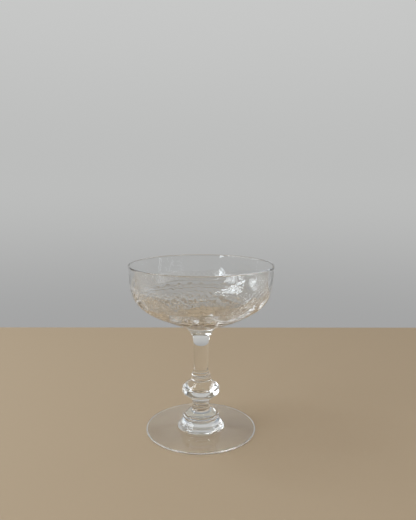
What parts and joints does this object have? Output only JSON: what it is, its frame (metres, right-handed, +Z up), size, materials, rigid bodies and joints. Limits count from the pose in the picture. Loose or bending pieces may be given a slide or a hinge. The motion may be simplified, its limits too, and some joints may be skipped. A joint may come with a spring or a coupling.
{
  "type": "coupe glass",
  "caption": "Clear crystal coupe glass: a wide shallow bowl on a stem with paired rings, a girdled knop, a stepped collar and a thin spread foot.",
  "frame": {"origin": "middle of the flat ring that the foot stands on", "axes": "+Z up along the axis that the glass is turned about; +Y away from the viewer; +X to the viewer's right"},
  "size_m": [0.101, 0.101, 0.12],
  "materials": {
    "bowl_crystal": "clear blown crystal, fire polished, with a fine etched band",
    "stem_crystal": "clear solid crystal, fire polished"
  },
  "bodies": {
    "root": {"bowl": "bowl_crystal", "shank": "stem_crystal", "upper_merese": "stem_crystal", "lower_merese": "stem_crystal", "knop": "stem_crystal", "neck_ring": "stem_crystal", "neck": "stem_crystal", "step_upper": "stem_crystal", "step_lower": "stem_crystal", "boss": "stem_crystal", "foot": "stem_crystal"}
  },
  "joints": []
}
